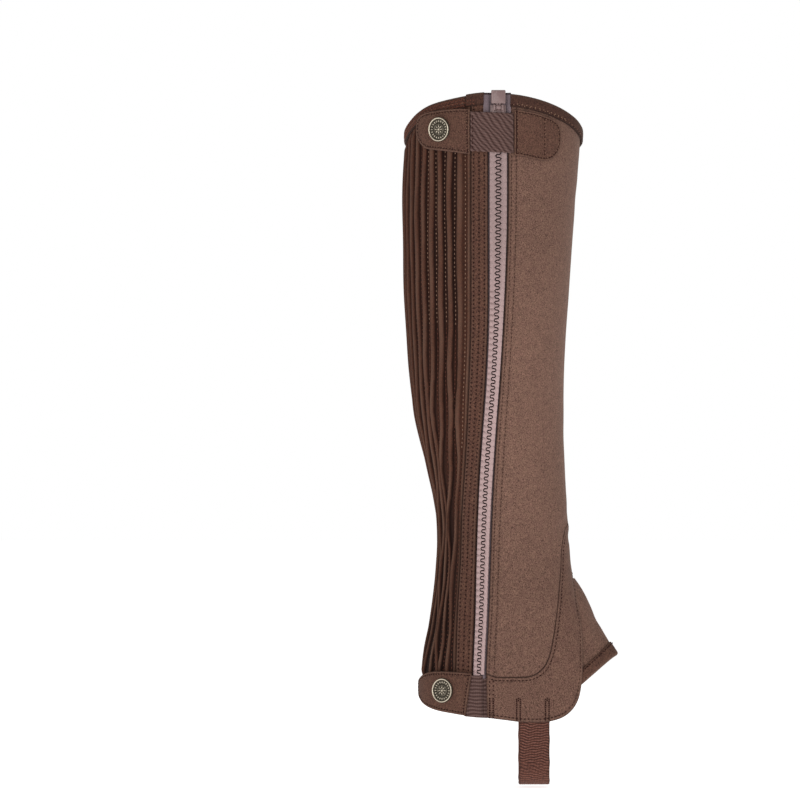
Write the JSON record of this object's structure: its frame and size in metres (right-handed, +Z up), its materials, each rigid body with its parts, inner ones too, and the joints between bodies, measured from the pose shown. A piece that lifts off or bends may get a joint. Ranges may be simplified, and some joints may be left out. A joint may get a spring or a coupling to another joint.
{
  "type": "suede half chap",
  "caption": "Hollow suede gaiter for the right lower leg, with side zip, pleated back, snap tabs and an elastic strap under the boot.",
  "frame": {"origin": "middle of the calf hollow at its widest level, where the wearer's calf holds the chap up", "axes": "+X towards the toes, +Z up along the leg, -Y towards the outer side with the zip"},
  "size_m": [0.1439, 0.117, 0.463],
  "materials": {
    "suede": "brushed nap, matte, mid brown",
    "stretch_suede": "stitched tucks, matte, dark brown",
    "suede_binding": "rolled and stitched, matte, dark brown",
    "webbing": "ribbed elastic, mauve brown",
    "foot_elastic": "ribbed elastic, red brown",
    "zip_tape": "woven tape, mauve grey",
    "zip_teeth": "moulded, satin, pinkish grey",
    "zip_metal": "satin paint, pinkish grey",
    "antique_brass": "antique, dark recesses and a light rim"
  },
  "bodies": {
    "chap": {"front_panel": "suede", "toe_piece": "suede", "pleat_panel": "stretch_suede", "zip_placket": "stretch_suede", "back_strip": "suede", "calf_patch": "suede", "rim_binding": "suede_binding", "placket_binding": "suede_binding", "hem_binding": "suede_binding", "toe_flap": "suede", "toe_flap_binding": "suede_binding", "zip_tape": "zip_tape", "zip_teeth_back": "zip_teeth", "zip_teeth_front": "zip_teeth", "zip_slider": "zip_metal", "upper_tab": "suede", "upper_elastic": "webbing", "anchor_tab": "suede", "lower_tab": "suede", "lower_elastic": "webbing", "snap_cap_upper": "antique_brass", "snap_cap_lower": "antique_brass", "foot_strap": "foot_elastic"},
    "pull": {"zip_pull": "zip_metal"}
  },
  "joints": [
    {"name": "pull_hinge", "type": "hinge", "parent": "chap", "child": "pull", "pos_m": [0.00564, -0.05883, 0.0673], "axis": [0.9967, 0.0812, 0], "range_deg": [-20, 165]}
  ]
}
